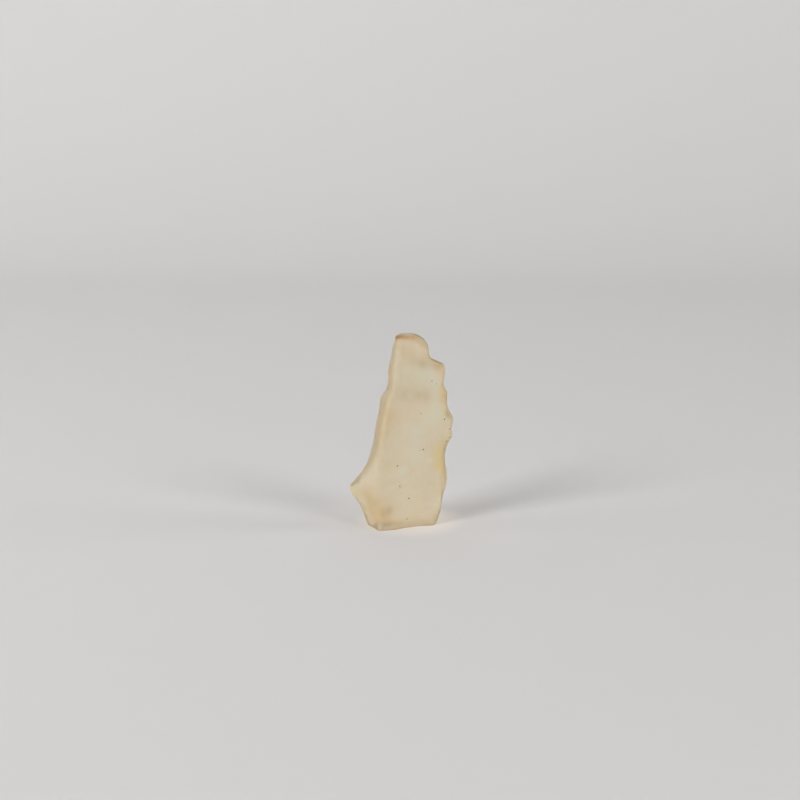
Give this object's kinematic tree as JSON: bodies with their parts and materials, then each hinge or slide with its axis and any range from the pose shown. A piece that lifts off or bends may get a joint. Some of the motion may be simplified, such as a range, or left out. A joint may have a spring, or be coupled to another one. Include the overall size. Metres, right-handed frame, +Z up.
{
  "type": "libyan desert glass",
  "caption": "Upright flake of pale yellow natural glass, wind-worn and translucent, with a flat broken foot and a slanting broken tip.",
  "frame": {"origin": "on the flat foot, near its middle", "axes": "+Z up along the flake, -Y out of the broad ridged face, +X towards its toothed edge"},
  "size_m": [0.0186, 0.0075, 0.0347],
  "materials": {
    "desert_glass": "satin"
  },
  "bodies": {
    "root": {"desert_glass": "desert_glass"}
  },
  "joints": []
}
